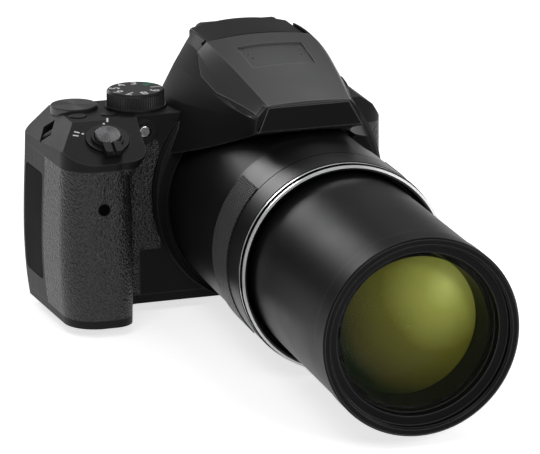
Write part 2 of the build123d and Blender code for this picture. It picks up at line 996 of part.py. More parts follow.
def fixed_barrel():
    inner = barrel_radius - barrel_wall
    flange_bore = neck_outer + fit_gap
    outline = [
        (ring_seat_radius, barrel_front), (ring_seat_radius, ring_back), (barrel_radius, ring_back),
        (barrel_radius, barrel_root), (housing_radius, barrel_root), (housing_radius, housing_rear),
        (housing_radius - housing_wall, housing_rear), (housing_radius - housing_wall, barrel_root),
        (flange_bore, barrel_root), (flange_bore, barrel_root - flange_thickness),
        (inner, barrel_root - flange_thickness), (inner, barrel_front),
    ]
    barrel = lathe(outline)
    x, z = pinion_place()
    radius = gear_module * pinion_teeth / 2 + gear_module + fit_gap
    barrel -= rod((x, gear_back + fit_gap, z), (x, gear_front - fit_gap, z), radius)
    return barrel


def control_ring():
    outline = [
        (ring_seat_radius, ring_back), (ring_radius - ring_chamfer / 2, ring_back),
        (ring_radius, ring_back - ring_chamfer / 2), (ring_radius, ring_groove_place + ring_groove_width),
        (ring_radius - ring_groove_depth, ring_groove_place + ring_groove_width),
        (ring_radius - ring_groove_depth, ring_groove_place), (ring_radius, ring_groove_place),
        (ring_radius, ring_front + ring_chamfer), (ring_radius - ring_chamfer, ring_front),
        (ring_seat_radius, ring_front),
    ]
    ring = lathe(outline)
    for pad in ring_pad_solids(0):
        ring = ring - pad
    return ring


def ring_pad_solids(lift):
    """Textured pads let into the ring on both sides."""
    pads = []
    band = tube(ring_radius + lift, ring_radius - pad_height, pad_back, pad_front)
    reach = ring_radius * 2
    for side in (-1, 1):
        corners = [(0, lens_axis_height)]
        for angle in (pad_low_angle, 0, pad_high_angle):
            turn = math.radians(angle)
            corners.append((side * reach * math.cos(turn), lens_axis_height + reach * math.sin(turn)))
        pads.append(band & front_profile(corners, pad_front - overrun, pad_back + overrun))
    return pads


def trim_rings():
    """Two bright rings: one round the barrel in front of the control ring, one on its front edge."""
    back = tube(trim_radius, ring_seat_radius, ring_front, ring_front - trim_width)
    lip = tube(trim_radius - trim_step, trim_inner_radius, barrel_front, barrel_front - trim_width)
    return [back, lip]


def zoom_barrel():
    inner = zoom_radius - zoom_wall
    outline = [(inner, zoom_rear), (zoom_radius, zoom_rear), (zoom_radius, filter_ring_back),
               (zoom_radius - zoom_wall / 2, filter_ring_back), (zoom_radius - zoom_wall / 2, zoom_front),
               (inner, zoom_front)]
    return lathe(outline)


def filter_ring():
    seat = zoom_radius - zoom_wall / 2
    thread_floor = front_plane + filter_thread_length
    bezel_back = front_plane + filter_thread_length + bezel_depth
    outline = [
        (seat, filter_ring_back), (filter_outer_radius, filter_ring_back),
        (filter_outer_radius, front_plane + filter_chamfer),
        (filter_outer_radius - filter_chamfer, front_plane),
        (filter_thread_radius + filter_chamfer, front_plane),
        (filter_thread_radius, front_plane + filter_chamfer),
        (filter_thread_radius, thread_floor), (bezel_radius + filter_chamfer, thread_floor + filter_chamfer),
        (bezel_radius, bezel_back), (zoom_radius - zoom_wall, bezel_back),
        (zoom_radius - zoom_wall, zoom_front), (seat, zoom_front),
    ]
    return lathe(outline)


def lens_curve(start, end, bulge):
    """Face of a lens between its axis and its rim; the bulge is how far it stands out at the axis."""
    if not bulge:
        return Line(start, end)
    rim, middle = sorted((start, end), key=lambda place: -place[0])
    sphere = (rim[0] ** 2 + bulge ** 2) / (2 * bulge)
    reach = rim[0] / 2
    drop = sphere - math.copysign(math.sqrt(sphere ** 2 - reach ** 2), sphere)
    return ThreePointArc(start, (reach, middle[1] - drop), end)


def lens_solid(radius, front, edge, front_bulge, rear_bulge):
    back = front + edge
    front_face = lens_curve((0, front - front_bulge), (radius, front), -front_bulge)
    rim = Line((radius, front), (radius, back))
    rear_face = lens_curve((radius, back), (0, back + rear_bulge), rear_bulge)
    middle = Line((0, back + rear_bulge), (0, front - front_bulge))
    face = make_face([front_face, rim, rear_face, middle])
    return revolve(Pos(0, 0, lens_axis_height) * face, axis=Axis((0, 0, lens_axis_height), (0, 1, 0)))


def lens_cell():
    """Inner tube that carries the two front lenses in the moving barrel."""
    outer = zoom_radius - zoom_wall
    second_back = second_lens_front + second_lens_edge
    cell_front = front_plane + filter_thread_length + bezel_depth
    outline = [
        (outer, lens_cell_rear), (outer, cell_front),
        (front_lens_radius, cell_front), (front_lens_radius, front_lens_front + front_lens_edge),
        (front_lens_radius - lens_cell_wall, front_lens_front + front_lens_edge),
        (second_lens_radius, second_lens_front), (second_lens_radius, second_back),
        (second_lens_radius - lens_cell_wall, second_back),
        (second_lens_radius - lens_cell_wall, lens_cell_rear),
    ]
    return lathe(outline)


def cam_barrel():
    tube_part = lathe([
        (cam_inner, cam_front), (cam_outer, cam_front), (cam_outer, cam_rear), (neck_outer, cam_rear),
        (neck_outer, neck_rear), (neck_inner, neck_rear), (neck_inner, cam_rear - cam_web),
        (cam_inner, cam_rear - cam_web),
    ])
    return tube_part + gear_at(0, lens_axis_height, neck_teeth, neck_inner, 0)


def zoom_pinion():
    """Its tooth gap faces the tooth of the cam barrel's gear that is nearest the line of centres."""
    x, z = pinion_place()
    neck_step = math.tau / neck_teeth
    facing = math.radians(pinion_angle)
    neck_phase = facing / neck_step - round(facing / neck_step)
    pinion_step = math.tau / pinion_teeth
    turn = facing + math.pi + (neck_phase + 1 / 2) * pinion_step
    pinion = gear_at(x, z, pinion_teeth, pinion_bore + shaft_clearance, math.degrees(turn))
    return pinion


def zoom_motor():
    x, z = pinion_place()
    motor = rod((x, motor_rear, z), (x, motor_front, z), motor_radius)
    return motor + rod((x, motor_rear, z), (x, gear_front - fit_gap, z), pinion_bore)


def carrier(front, length, lens_radius):
    """Round carriage with a lens, running on the two guide rods."""
    body = tube(carrier_radius, lens_radius + carrier_wall, front + length, front)
    body += tube(lens_radius + carrier_wall, lens_radius - carrier_wall / 2, front + length,
                 front + length - carrier_wall)
    body -= tube(carrier_radius - carrier_wall, lens_radius + carrier_wall * 2,
                 front + length - carrier_wall, front)
    for side in (-1, 1):
        boss = rod((side * rod_place, front + length, lens_axis_height),
                   (side * rod_place, front, lens_axis_height),
                   rod_radius + carrier_wall)
        bore = rod((side * rod_place, front + length + overrun, lens_axis_height),
                   (side * rod_place, front - overrun, lens_axis_height), rod_radius + shaft_clearance)
        body = (body + boss) - bore
    return body & disc(carrier_radius, front + length, front)


def guide_rods():
    return [rod((side * rod_place, housing_rear, lens_axis_height),
                (side * rod_place, rod_front, lens_axis_height),
                rod_radius) for side in (-1, 1)]


def lens_parts():
    parts["fixed_barrel"] = fixed_barrel()
    parts["control_ring"] = control_ring()
    parts["ring_grip_pads"] = ring_pad_solids(pad_height)
    parts["trim_rings"] = trim_rings()
    parts["zoom_barrel"] = zoom_barrel() + lens_cell()
    parts["filter_ring"] = filter_ring()
    parts["front_lens"] = lens_solid(front_lens_radius, front_lens_front, front_lens_edge,
                                     front_lens_bulge, 0)
    parts["second_lens"] = lens_solid(second_lens_radius, second_lens_front, second_lens_edge,
                                      second_lens_bulge, 0)
    parts["cam_barrel"] = cam_barrel()
    parts["zoom_pinion"] = zoom_pinion()
    parts["zoom_motor"] = zoom_motor()
    parts["guide_rods"] = guide_rods()
    groups = (
        ("variator", variator_front, variator_length, variator_lens_radius),
        ("focus", focus_front, focus_length, focus_lens_radius),
    )
    for name, front, length, radius in groups:
        parts[name + "_frame"] = carrier(front, length, radius)
        lens_edge = length - carrier_wall * 2
        parts[name + "_lens"] = lens_solid(radius, front + carrier_wall, lens_edge, carrier_wall / 2,
                                           -carrier_wall)
    iris_front = variator_front - iris_thickness
    parts["variator_frame"] += tube(variator_lens_radius + carrier_wall * 2, iris_hole, variator_front,
                                    iris_front)
    low = (-sensor_width / 2, housing_rear - sensor_thickness, lens_axis_height - sensor_height / 2)
    high = (sensor_width / 2, housing_rear, lens_axis_height + sensor_height / 2)
    parts["image_sensor"] = block(low, high)


# Flash and viewfinder


def plate_zone(gap):
    """Space of the name plate on the nose, set out by a gap on every side."""
    outline = [
        (-plate_bottom_half - gap, plate_bottom - gap), (-plate_top_half - gap, plate_top + gap),
        (plate_top_half + gap, plate_top + gap), (plate_bottom_half + gap, plate_bottom - gap),
    ]
    front = front_profile(outline, hump_nose - overrun * 2, plate_back)
    side = side_profile([
        (plate_back, plate_bottom - overrun), (plate_back, plate_top + overrun),
        (plate_top_front - gap, plate_top + overrun), (plate_top_front - gap, plate_top),
        (plate_bottom_front - gap, plate_bottom), (plate_bottom_front - gap, plate_bottom - overrun),
    ], -hump_half_width, hump_half_width)
    return front & side


def name_plate():
    plate = plate_zone(0)
    return fillet(plate.edges().group_by(Axis.Y)[0], plate_round / 2)


def flash_lid():
    solid = hump_outer - (hump_form(lid_wall) - hinge_knuckles())
    front_step = lid_swing_front(lid_seam_heights[-1] + lid_gap)
    lid = (solid & lid_zone(lid_gap, front_step)) - plate_zone(fit_gap)
    lid = main_solid(lid) + hinge_knuckles()
    lid = lid - hinge_bore(hinge_pin_radius + shaft_clearance)
    lid = lid - panel_recess()
    return main_solid(lid)


def hinge_bore(radius):
    half = hump_half_width / 2
    return rod((-half, hinge_depth, hinge_height), (half, hinge_depth, hinge_height), radius)


def hinge_knuckles():
    """Two knuckles below the lid's rear edge, joined to its skin by short webs."""
    knuckles = Part()
    for side in (-1, 1):
        inner, outer = sorted((side * knuckle_inner, side * knuckle_outer))
        knuckle = rod((inner, hinge_depth, hinge_height), (outer, hinge_depth, hinge_height),
                      hinge_knuckle_radius)
        low = (inner, hinge_depth - hinge_knuckle_radius, hinge_height)
        high = (outer, hinge_depth + hinge_knuckle_radius, hump_top - wall)
        knuckles = knuckles + knuckle + block(low, high)
    return knuckles & hump_outer


def hinge_ears():
    """Ears of the hump cover that hold the ends of the hinge pin."""
    ears = Part()
    for side in (-1, 1):
        inner, outer = sorted((side * (knuckle_outer + fit_gap), side * ear_outer))
        ears += rod((inner, hinge_depth, hinge_height), (outer, hinge_depth, hinge_height),
                    hinge_pin_radius * 2)
        low = (inner, hinge_depth - hinge_pin_radius * 2, finder_low)
        high = (outer, hinge_depth + hinge_pin_radius * 2, hinge_height)
        ears += block(low, high)
        shelf_low = (inner, hinge_depth - hinge_pin_radius * 2, finder_low - wall)
        shelf_high = (outer, finder_front + wall, finder_low)
        ears += block(shelf_low, shelf_high)
    return ears


def panel_recess():
    """Shallow recess on the lid with two rows of microphone holes."""
    outline = [(-panel_half_front, panel_front), (-panel_half_rear, panel_rear),
               (panel_half_rear, panel_rear), (panel_half_front, panel_front)]
    column = extrude(Pos(0, 0, deck_height) * make_face(Polyline(*outline, close=True)), amount=hump_top)
    shallow = column & (hump_outer - Pos(0, 0, -panel_depth) * hump_outer)
    for side in (-1, 1):
        for count in range(mic_count):
            x = side * (mic_half - count * mic_radius)
            y = mic_first - count * mic_spacing
            shallow += rod((x, y, deck_height), (x, y, hump_top + overrun), mic_radius)
    return shallow


def flash_window_front():
    return lid_swing_front(flash_head_low) + fit_gap


def flash_window():
    low = (-flash_half_width, flash_window_front(), flash_head_low)
    high = (flash_half_width, flash_window_front() + flash_window_thickness, flash_head_high)
    return block(low, high)


def flash_head():
    low = (-flash_half_width, flash_window_front() + flash_window_thickness, flash_head_low)
    high = (flash_half_width, flash_head_rear, flash_head_high)
    cavity_high = (flash_half_width - wall / 2, flash_head_rear - wall, flash_head_high - wall / 2)
    cavity_low = (-flash_half_width + wall / 2, flash_window_front() + flash_window_thickness,
                  flash_head_low + wall / 2)
    post_low = (-wall, flash_head_rear - wall, flash_head_high)
    post_high = (wall, flash_head_rear, hump_top)
    inner_lid = hump_form(lid_wall)
    head = block(low, high) - block(cavity_low, cavity_high)
    return head + (block(post_low, post_high) & inner_lid)


def finder_housing():
    outline_half = finder_half_width

    def finder_block(inset, front, rear):
        left = -outline_half + inset
        right = outline_half - inset
        shoulder = finder_shoulder - inset
        top = ThreePointArc((left, shoulder), (0, finder_top - inset), (right, shoulder))
        sides = Polyline((right, shoulder), (right, finder_low + inset), (left, finder_low + inset),
                         (left, shoulder))
        face = make_face([top, *sides.edges()])
        start = Plane(origin=(0, rear, 0), x_dir=(1, 0, 0), z_dir=(0, -1, 0))
        return extrude(start * face, amount=rear - front)

    outer = finder_block(0, finder_front, finder_rear)
    long_edges = outer.edges().filter_by(Axis.Y).group_by(Axis.Z)[-1]
    outer = fillet(long_edges, finder_round)
    inner = finder_block(finder_wall, finder_front + finder_wall, finder_rear - finder_wall)
    height = (cup_low + cup_high) / 2
    window = block((-eye_window_half_width, 0, height - eye_window_height / 2),
                   (eye_window_half_width, finder_rear + overrun, height + eye_window_height / 2))
    spindle = rod((0, diopter_depth, diopter_height),
                  (finder_half_width + overrun, diopter_depth, diopter_height),
                  diopter_spindle_radius + shaft_clearance)
    return outer - inner - window - spindle - lid_sweep()


def eyepiece_cup():
    height = (cup_low + cup_high) / 2
    cup = rounded_block((-cup_half_width, finder_rear, cup_low), (cup_half_width, cup_rear, cup_high),
                        cup_round, Axis.Y)
    window = block((-eye_window_half_width, finder_rear - overrun, height - eye_window_height / 2),
                   (eye_window_half_width, cup_rear + overrun, height + eye_window_height / 2))
    cup = cup - window
    return chamfer(cup.edges().group_by(Axis.Y)[-1], cup_round / 4)


def eyepiece_lens():
    height = (cup_low + cup_high) / 2
    low = (-eye_window_half_width, finder_rear - finder_wall, height - eye_window_height / 2)
    high = (eye_window_half_width, finder_rear - finder_wall + eyepiece_thickness,
            height + eye_window_height / 2)
    return rounded_block(low, high, finder_wall / 4, Axis.Y)


def diopter_dial():
    dial = rod((finder_half_width + fit_gap, diopter_depth, diopter_height),
               (finder_half_width + fit_gap + diopter_length, diopter_depth, diopter_height), diopter_radius)
    spindle = rod((finder_half_width - finder_wall, diopter_depth, diopter_height),
                  (finder_half_width + fit_gap, diopter_depth, diopter_height), diopter_spindle_radius)
    return dial + spindle


def flash_and_finder_parts():
    parts["flash_lid"] = flash_lid()
    parts["flash_window"] = flash_window()
    parts["flash_head"] = flash_head()
    parts["name_plate"] = name_plate()
    parts["finder_housing"] = finder_housing()
    parts["eyepiece_cup"] = eyepiece_cup()
    parts["eyepiece_lens"] = eyepiece_lens()
    parts["diopter_dial"] = diopter_dial()


# Fixed hinge parts


def tube_rear(x, z, radius, front, rear):
    return rod((x, front, z), (x, rear, z), radius)


def door_hinge_x():
    return door_right - door_thickness + fit_gap


def door_hinge_height():
    return door_hinge_radius + fit_gap


def door_ears():
    ears = Part()
    x = door_hinge_x()
    z = door_hinge_height()
    for start in (door_knuckle_front - fit_gap - door_ear_length, door_knuckle_rear + fit_gap):
        ears += rod((x, start, z), (x, start + door_ear_length, z), door_hinge_radius)
        ears += block((x - door_hinge_radius, start, z), (door_right, start + door_ear_length, base_height))
        ears += block((x, start, fit_gap), (door_right, start + door_ear_length, base_height))
    return ears


def lever_hub():
    """Short hub on the falling deck that the zoom lever turns on."""
    hub = Pos(0, 0, (fit_gap - lever_seat) / 2) * Cylinder(lever_hub_radius, fit_gap + lever_seat)
    return shutter_plane(0) * (hub - Cylinder(shutter_shaft_radius + fit_gap, overrun))


def hinge_pin_solids():
    """Steel pins of the flash lid, the monitor and the battery door."""
    knuckle = swing_pin_end
    return [
        rod((-hinge_pin_half, hinge_depth, hinge_height), (hinge_pin_half, hinge_depth, hinge_height),
            hinge_pin_radius),
        rod((swing_x, swing_y, swing_low - knuckle), (swing_x, swing_y, swing_high + knuckle),
            swing_pin_radius),
        rod((door_hinge_x(), door_knuckle_front - door_ear_length, door_hinge_height()),
            (door_hinge_x(), door_knuckle_rear + door_ear_length, door_hinge_height()), door_pin_radius),
    ]


# Controls on the deck


def knurled(radius, low, high):
    """Round knob with small straight notches down its side."""
    points = []
    for notch in range(dial_knurl_count * 2):
        angle = notch * math.pi / dial_knurl_count
        reach = radius - dial_knurl_depth * (notch % 2)
        points.append((reach * math.cos(angle), reach * math.sin(angle)))
    face = make_face(Polyline(*points, close=True))
    return extrude(Pos(0, 0, low) * face, amount=high - low)


def mode_dial():
    foot = mode_dial_well + mode_dial_foot
    skirt_top = foot + mode_dial_lower_height
    cap_low = mode_dial_top - mode_dial_lower_height / 2
    dial = Pos(0, 0, (foot + skirt_top) / 2) * Cylinder(mode_dial_lower_radius, mode_dial_lower_height)
    dial += knurled(mode_dial_radius, skirt_top, cap_low)
    cap = Pos(0, 0, (cap_low + mode_dial_top) / 2) * Cylinder(mode_dial_radius, mode_dial_top - cap_low)
    dial += chamfer(cap.edges().group_by(Axis.Z)[-1], dial_knurl_depth * 2)
    dial += rod((0, 0, foot - wall * 3), (0, 0, foot), dial_spindle_radius)
    return Pos(mode_dial_x, mode_dial_y, 0) * dial


def command_dial():
    low = command_dial_top - command_dial_thickness
    disc_part = Pos(0, 0, (low + command_dial_top) / 2) * Cylinder(command_dial_radius,
                                                                   command_dial_thickness)
    disc_part = chamfer(disc_part.edges().group_by(Axis.Z)[-1], dial_knurl_depth)
    dial = disc_part + rod((0, 0, low - wall * 2), (0, 0, low), dial_spindle_radius)
    return Pos(command_dial_x, command_dial_y, 0) * dial


def button(place, out, radius, proud, cover=wall):
    """Round button through a cover: a cap that stands proud and a wider flange inside the cover."""
    place = Vector(*place)
    out = Vector(*out)
    flange_top = place - out * (cover + fit_gap)
    flange_low = flange_top - out * button_flange_thickness
    cap = rod(tuple(flange_top), tuple(place + out * proud), radius)
    faces = cap.faces().sort_by(Axis(tuple(place), tuple(out)))
    cap = chamfer(faces[-1].edges(), button_flange_thickness / 4)
    return cap + rod(tuple(flange_low), tuple(flange_top), radius + button_flange)


def shutter_button():
    cap_low = shutter_top - shutter_cap_thickness
    flange_top = -wall * 2 - fit_gap
    cap = Pos(0, 0, (cap_low + shutter_top) / 2) * Cylinder(shutter_radius, shutter_cap_thickness)
    cap = fillet(cap.edges().group_by(Axis.Z)[-1], shutter_cap_thickness / 4)
    shaft = Pos(0, 0, (cap_low + flange_top) / 2) * Cylinder(shutter_shaft_radius, cap_low - flange_top)
    flange = Pos(0, 0, flange_top - button_flange_thickness / 2) * Cylinder(
        shutter_shaft_radius + button_flange, button_flange_thickness)
    return shutter_plane(0) * (cap + shaft + flange)


def zoom_lever():
    low = fit_gap - lever_seat
    plate = Pos(0, 0, (low + lever_height) / 2) * Cylinder(lever_radius, lever_height - low)
    collar = Pos(0, 0, lever_collar_height / 2) * Cylinder(lever_collar_radius, lever_collar_height)
    well = Pos(0, 0, fit_gap + overrun / 2) * Cylinder(shutter_radius + fit_gap, overrun)
    tab_high = lever_tab_height + lever_height
    tab = block((-lever_tab_width / 2, -lever_radius - lever_tab_length, lever_seat),
                (lever_tab_width / 2, -shutter_radius, tab_high))
    tab = fillet(tab.edges().filter_by(Axis.Z), lever_notch)
    notch = block((-lever_notch / 2, -lever_radius - lever_tab_length, tab_high - lever_notch),
                  (lever_notch / 2, -shutter_radius, tab_high))
    bore = Cylinder(lever_hub_radius + shaft_clearance, overrun * 2)
    return shutter_plane(0) * (plate + collar + tab - notch - well - bore)


# Back of the camera


def monitor_frame():
    low = (monitor_left, monitor_front, monitor_low)
    high = (monitor_right, monitor_rear, monitor_high)
    frame = rounded_block(low, high, monitor_round, Axis.Y)
    frame = frame - screen_block(0)
    middle = swing_y
    arm = block((monitor_right - wall, middle - wall * 3 / 4, swing_low),
                (swing_x, middle + wall * 3 / 4, swing_high))
    barrel = rod((swing_x, swing_y, swing_low), (swing_x, swing_y, swing_high), swing_barrel_radius)
    pin = rod((swing_x, swing_y, swing_low - overrun), (swing_x, swing_y, swing_high + overrun),
              swing_pin_radius + shaft_clearance)
    return frame + arm + barrel - pin


def screen_block(gap):
    x = (monitor_left + monitor_right) / 2
    z = (monitor_low + monitor_high) / 2
    low = (x - screen_half_width - gap, monitor_rear - screen_depth, z - screen_half_height - gap)
    high = (x + screen_half_width + gap, monitor_rear, z + screen_half_height + gap)
    return block(low, high)


def thumb_rest():
    low = (thumb_left, body_rear, thumb_low)
    high = (thumb_right, body_rear + thumb_proud, thumb_high)
    return rounded_block(low, high, wall, Axis.Y)


def selector_ring():
    low = body_rear + fit_gap
    ring = rod((selector_x, low, selector_height), (selector_x, low + selector_thickness, selector_height),
               selector_radius)
    ring = chamfer(ring.edges().group_by(Axis.Y)[-1], selector_thickness / 3)
    return ring - rod((selector_x, 0, selector_height), (selector_x, body_rear + overrun, selector_height),
                      selector_boss_radius + shaft_clearance)


def side_zoom_lever():
    outer = barrel_radius + fit_gap + side_lever_height
    band = tube(outer, barrel_radius + fit_gap, side_lever_y + side_lever_length / 2,
                side_lever_y - side_lever_length / 2)
    half = side_lever_width / 2
    slab = block((0, side_lever_y - side_lever_length, lens_axis_height - half),
                 (outer * 2, side_lever_y + side_lever_length, lens_axis_height + half))
    return band & slab


def control_parts():
    parts["mode_dial"] = mode_dial()
    parts["command_dial"] = command_dial()
    parts["power_button"] = button((power_x, power_y, deck_level(power_y)), (0, 0, 1), power_radius,
                                   button_proud)
    parts["function_button"] = button((function_x, function_y, deck_level(function_y)), (0, 0, 1),
                                      function_radius, button_proud)
    parts["shutter_button"] = shutter_button()
    parts["zoom_lever"] = zoom_lever()
    parts["monitor_frame"] = monitor_frame()
    parts["monitor_glass"] = screen_block(0)
    parts["thumb_rest"] = thumb_rest()
    parts["selector_ring"] = selector_ring()
    parts["ok_button"] = button((selector_x, body_rear, selector_height), (0, 1, 0), ok_radius, ok_proud)
    for name, (x, height) in rear_button_places().items():
        parts[name] = button((x, body_rear, height), (0, 1, 0), rear_button_radius, button_proud)
    parts["side_zoom_lever"] = side_zoom_lever()
    place, out = flash_button_place()
    parts["flash_button"] = button(tuple(place), tuple(out), flash_button_radius, button_proud,
                                   wall * (out.X + out.Z) + fit_gap * 2)
    parts["hinge_pins"] = hinge_pin_solids()
    parts["af_lamp"] = lamp_lens()
    parts["ir_window"] = ir_window()


def lamp_lens():
    lens = rod((lamp_x, body_front + wall, lamp_height),
               (lamp_x, body_front - lamp_proud * 2 / 3, lamp_height),
               lamp_radius)
    return fillet(lens.edges().group_by(Axis.Y)[0], lamp_radius / 3)


def ir_window():
    window = rod((ir_x, grip_front, ir_height), (ir_x, grip_front - overrun, ir_height), ir_radius)
    return window & body_form(fit_gap / 2)


# Inside the grip and the back


def battery_box():
    low = (battery_left, battery_front, base_height + fit_gap)
    high = (battery_left + battery_width, battery_front + battery_depth,
            base_height + fit_gap + battery_height)
    return low, high


def battery():
    low, high = battery_box()
    return rounded_block(low, high, wall, Axis.Z)


def chassis():
    """Lens mounting plate and battery chamber, held together by an arm behind the lens."""
    low, high = battery_box()
    gap = holder_gap
    outer = block((low[0] - gap - holder_wall, low[1] - gap - holder_wall, base_height + holder_wall),
                  (high[0] + gap + holder_wall, high[1] + gap + holder_wall, high[2] + gap + holder_wall))
    cavity = block((low[0] - gap, low[1] - gap, 0), (high[0] + gap, high[1] + gap, high[2] + gap))
    plate_rear = housing_rear + sensor_plate_thickness
    plate = disc(housing_radius, plate_rear, housing_rear)
    x, z = pinion_place()
    plate += rod((x, motor_rear, z), (x, plate_rear, z), motor_radius)
    arm = block((low[0], housing_rear, z), (-housing_radius / 2, plate_rear, z + motor_radius * 2))
    bridge = block((low[0], high[1] + gap, z), (high[0], plate_rear, z + motor_radius * 2))
    return (outer - cavity) + plate + arm + bridge


def main_board():
    board = block((board_left, board_front, board_low),
                  (board_right, board_front + board_thickness, board_high))
    chip = block((-chip_half, board_front + board_thickness, lens_axis_height - chip_half),
                 (chip_half, board_front + board_thickness + chip_thickness, lens_axis_height + chip_half))
    return board + chip


def battery_door():
    x = door_hinge_x()
    z = door_hinge_height()
    plate_right = x - door_hinge_radius - fit_gap
    plate = rounded_block((door_left + fit_gap, door_front + fit_gap, 0),
                          (plate_right, door_rear - fit_gap, door_thickness), door_round - fit_gap, Axis.Z)
    web = block((plate_right - wall, door_knuckle_front, fit_gap), (x, door_knuckle_rear, door_thickness))
    knuckle = rod((x, door_knuckle_front, z), (x, door_knuckle_rear, z), door_hinge_radius)
    pin = rod((x, door_front, z), (x, door_rear, z), door_pin_radius + shaft_clearance)
    return plate + web + knuckle - pin


def port_door():
    low = (body_left - overrun, port_door_front + fit_gap, port_door_low + fit_gap)
    high = (body_left + wall * 2, port_door_rear - fit_gap * 2, port_door_high - fit_gap)
    column = rounded_block(low, high, port_door_round - fit_gap, Axis.X)
    return column & (outer_body - body_form(port_door_thickness))


def connectors():
    """Metal shells of the two sockets behind the side door, each on its own block."""
    shells = []
    for height in port_heights:
        y = (port_door_front + port_door_rear) / 2
        low = (body_left + wall, y - port_width / 2, height - port_height / 2)
        high = (battery_left - holder_gap - holder_wall, y + port_width / 2, height + port_height / 2)
        hollow_low = (low[0] - overrun, low[1] + port_wall, low[2] + port_wall)
        hollow_high = (high[0] - port_wall, high[1] - port_wall, high[2] - port_wall)
        shells.append(block(low, high) - block(hollow_low, hollow_high))
    return shells


def tripod_socket():
    socket = rod((0, 0, 0), (0, 0, socket_length), socket_radius)
    return socket - rod((0, 0, -overrun), (0, 0, socket_length + overrun), socket_bore)


def inner_parts():
    parts["battery"] = battery()
    parts["chassis"] = chassis()
    parts["main_board"] = main_board()
    parts["battery_door"] = battery_door()
    parts["port_door"] = port_door()
    parts["connectors"] = connectors()
    parts["tripod_socket"] = tripod_socket()


def write_parts():
    os.makedirs("parts", exist_ok=True)
    for name, shape in parts.items():
        solids = shape if isinstance(shape, list) else shape.solids()
        export_step(Compound(children=list(solids)) if len(solids) > 1 else solids[0], f"parts/{name}.step")


covers()
lens_parts()
flash_and_finder_parts()
control_parts()
inner_parts()
write_parts()
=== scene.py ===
import math

import bmesh
import bpy
from mathutils import Matrix, Vector


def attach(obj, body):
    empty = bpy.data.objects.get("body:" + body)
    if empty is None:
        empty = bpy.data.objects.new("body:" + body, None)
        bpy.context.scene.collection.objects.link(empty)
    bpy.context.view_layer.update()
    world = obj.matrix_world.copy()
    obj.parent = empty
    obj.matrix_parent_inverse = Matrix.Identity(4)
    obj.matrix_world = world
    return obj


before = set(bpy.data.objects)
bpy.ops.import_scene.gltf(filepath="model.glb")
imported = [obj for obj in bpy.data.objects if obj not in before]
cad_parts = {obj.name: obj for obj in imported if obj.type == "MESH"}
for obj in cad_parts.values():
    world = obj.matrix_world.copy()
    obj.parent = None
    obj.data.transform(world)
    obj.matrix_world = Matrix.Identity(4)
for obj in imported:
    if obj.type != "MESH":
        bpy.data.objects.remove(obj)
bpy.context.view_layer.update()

# Places on the CAD part, in metres, and the deck's slope in degrees
LENS_AXIS_HEIGHT = 0.0372
RING_RADIUS = 0.0402
REAR_BAND_FRONT = -0.1125
FRONT_BAND_REAR = -0.1142
FRONT_BAND_INNER = 0.0388
MODE_DIAL_CENTRE = (-0.0488, -0.003)
MODE_DIAL_TOP = 0.083
MODE_DIAL_RADIUS = 0.0113
COMMAND_DIAL_CENTRE = (-0.0724, 0.0022, 0.0774)
SHUTTER_CENTRE = (-0.0679, -0.0315, 0.071292)
DECK_TILT = 24.04

# Numbers on the mode dial: circle and height are shares of its radius, the weight is a share of the height
DIAL_NUMBERS = 9
GREEN_NUMBER = 2
NUMBER_CIRCLE = 0.7
NUMBER_HEIGHT = 0.5
NUMBER_WEIGHT = 0.025

# Marks round the shutter button's centre, beside the zoom lever: dots by angle, bars by angle, length, width
MARK_LIFT = 0.00004
DOT_CIRCLE = 0.0098
DOT_SIZE = 0.0005
DOT_CORNERS = 12
DOT_ANGLES = (150, 84)
BAR_CIRCLE = 0.0122
BARS = ((160, 0.0022, 0.0007), (150, 0.0022, 0.0007), (76, 0.0024, 0.0008))

# Rounds on the sharp edges of CAD pieces, in metres
SOFT_EDGES = (
    ("hump_cover", 0.0008),
    ("flash_lid", 0.001),
    ("top_cover", 0.0012),
    ("front_cover", 0.0004),
    ("base_cover", 0.0003),
    ("name_plate", 0.0006),
    ("finder_housing", 0.0004),
)
SOFT_EDGE_SEGMENTS = 3
SHARP_ANGLE = 28

# Painted highlights on edges: how far the bend is felt, and the facing at which the painted highlight starts
# and is full
EDGE_RADIUS = 0.0008
EDGE_SAMPLES = 6
EDGE_START = 0.995
EDGE_FULL = 0.9
HIGHLIGHT_BLUE = 1.03

# Shares of a material's colour where its pattern is low and where it is high; for the knurl and the rubber
# these paint shade into the grooves and creases and light onto the raised tops
PAINT_TONES = (0.82, 1.18)
METAL_TONES = (0.8, 1.2)
KNURL_SHADE_AND_HIGHLIGHT = (0.3, 2.5)
PEBBLE_SHEEN_AND_SHADE = (1.7, 0.3)

# Rubber's grain: the stir that makes the pebbles uneven, the share of fine grain, and where the painted shade
# in the creases starts and is full
STIR_SCALE = 220.0
STIR_REACH = (0.0016, 0.0016, 0.0016)
FINE_SHARE = 0.25
CREASE_START = 0.15
CREASE_FULL = 0.7

# Trim rings
LACQUER_COLOUR = (0.008, 0.008, 0.0085)
CHROME_COLOUR = (0.92, 0.925, 0.93)

# Lens coating tint with a painted reflection and a painted glow: colours by distance from a painted bright
# spot, as shares of the reach
COAT_REFLECTION_CENTRE = (0.015, 0, LENS_AXIS_HEIGHT + 0.013)
COAT_REFLECTION_REACH = 0.046
COAT_HAZE = 0.1
COAT_GLOW = 0.3
COAT_REFLECTION_NEAR = (0.5, 0.54, 0.15, 1)
COAT_REFLECTION_FAR = (0.006, 0.01, 0.006, 1)
COAT_REFLECTION_BETWEEN = (
    (0.25, (0.26, 0.28, 0.055, 1)),
    (0.58, (0.08, 0.079, 0.011, 1)),
    (0.88, (0.034, 0.031, 0.007, 1)),
)

# Sockets of the colour mix node, which have no names of their own
MIX_FACTOR, MIX_FIRST, MIX_SECOND, MIX_RESULT = 0, 6, 7, 2

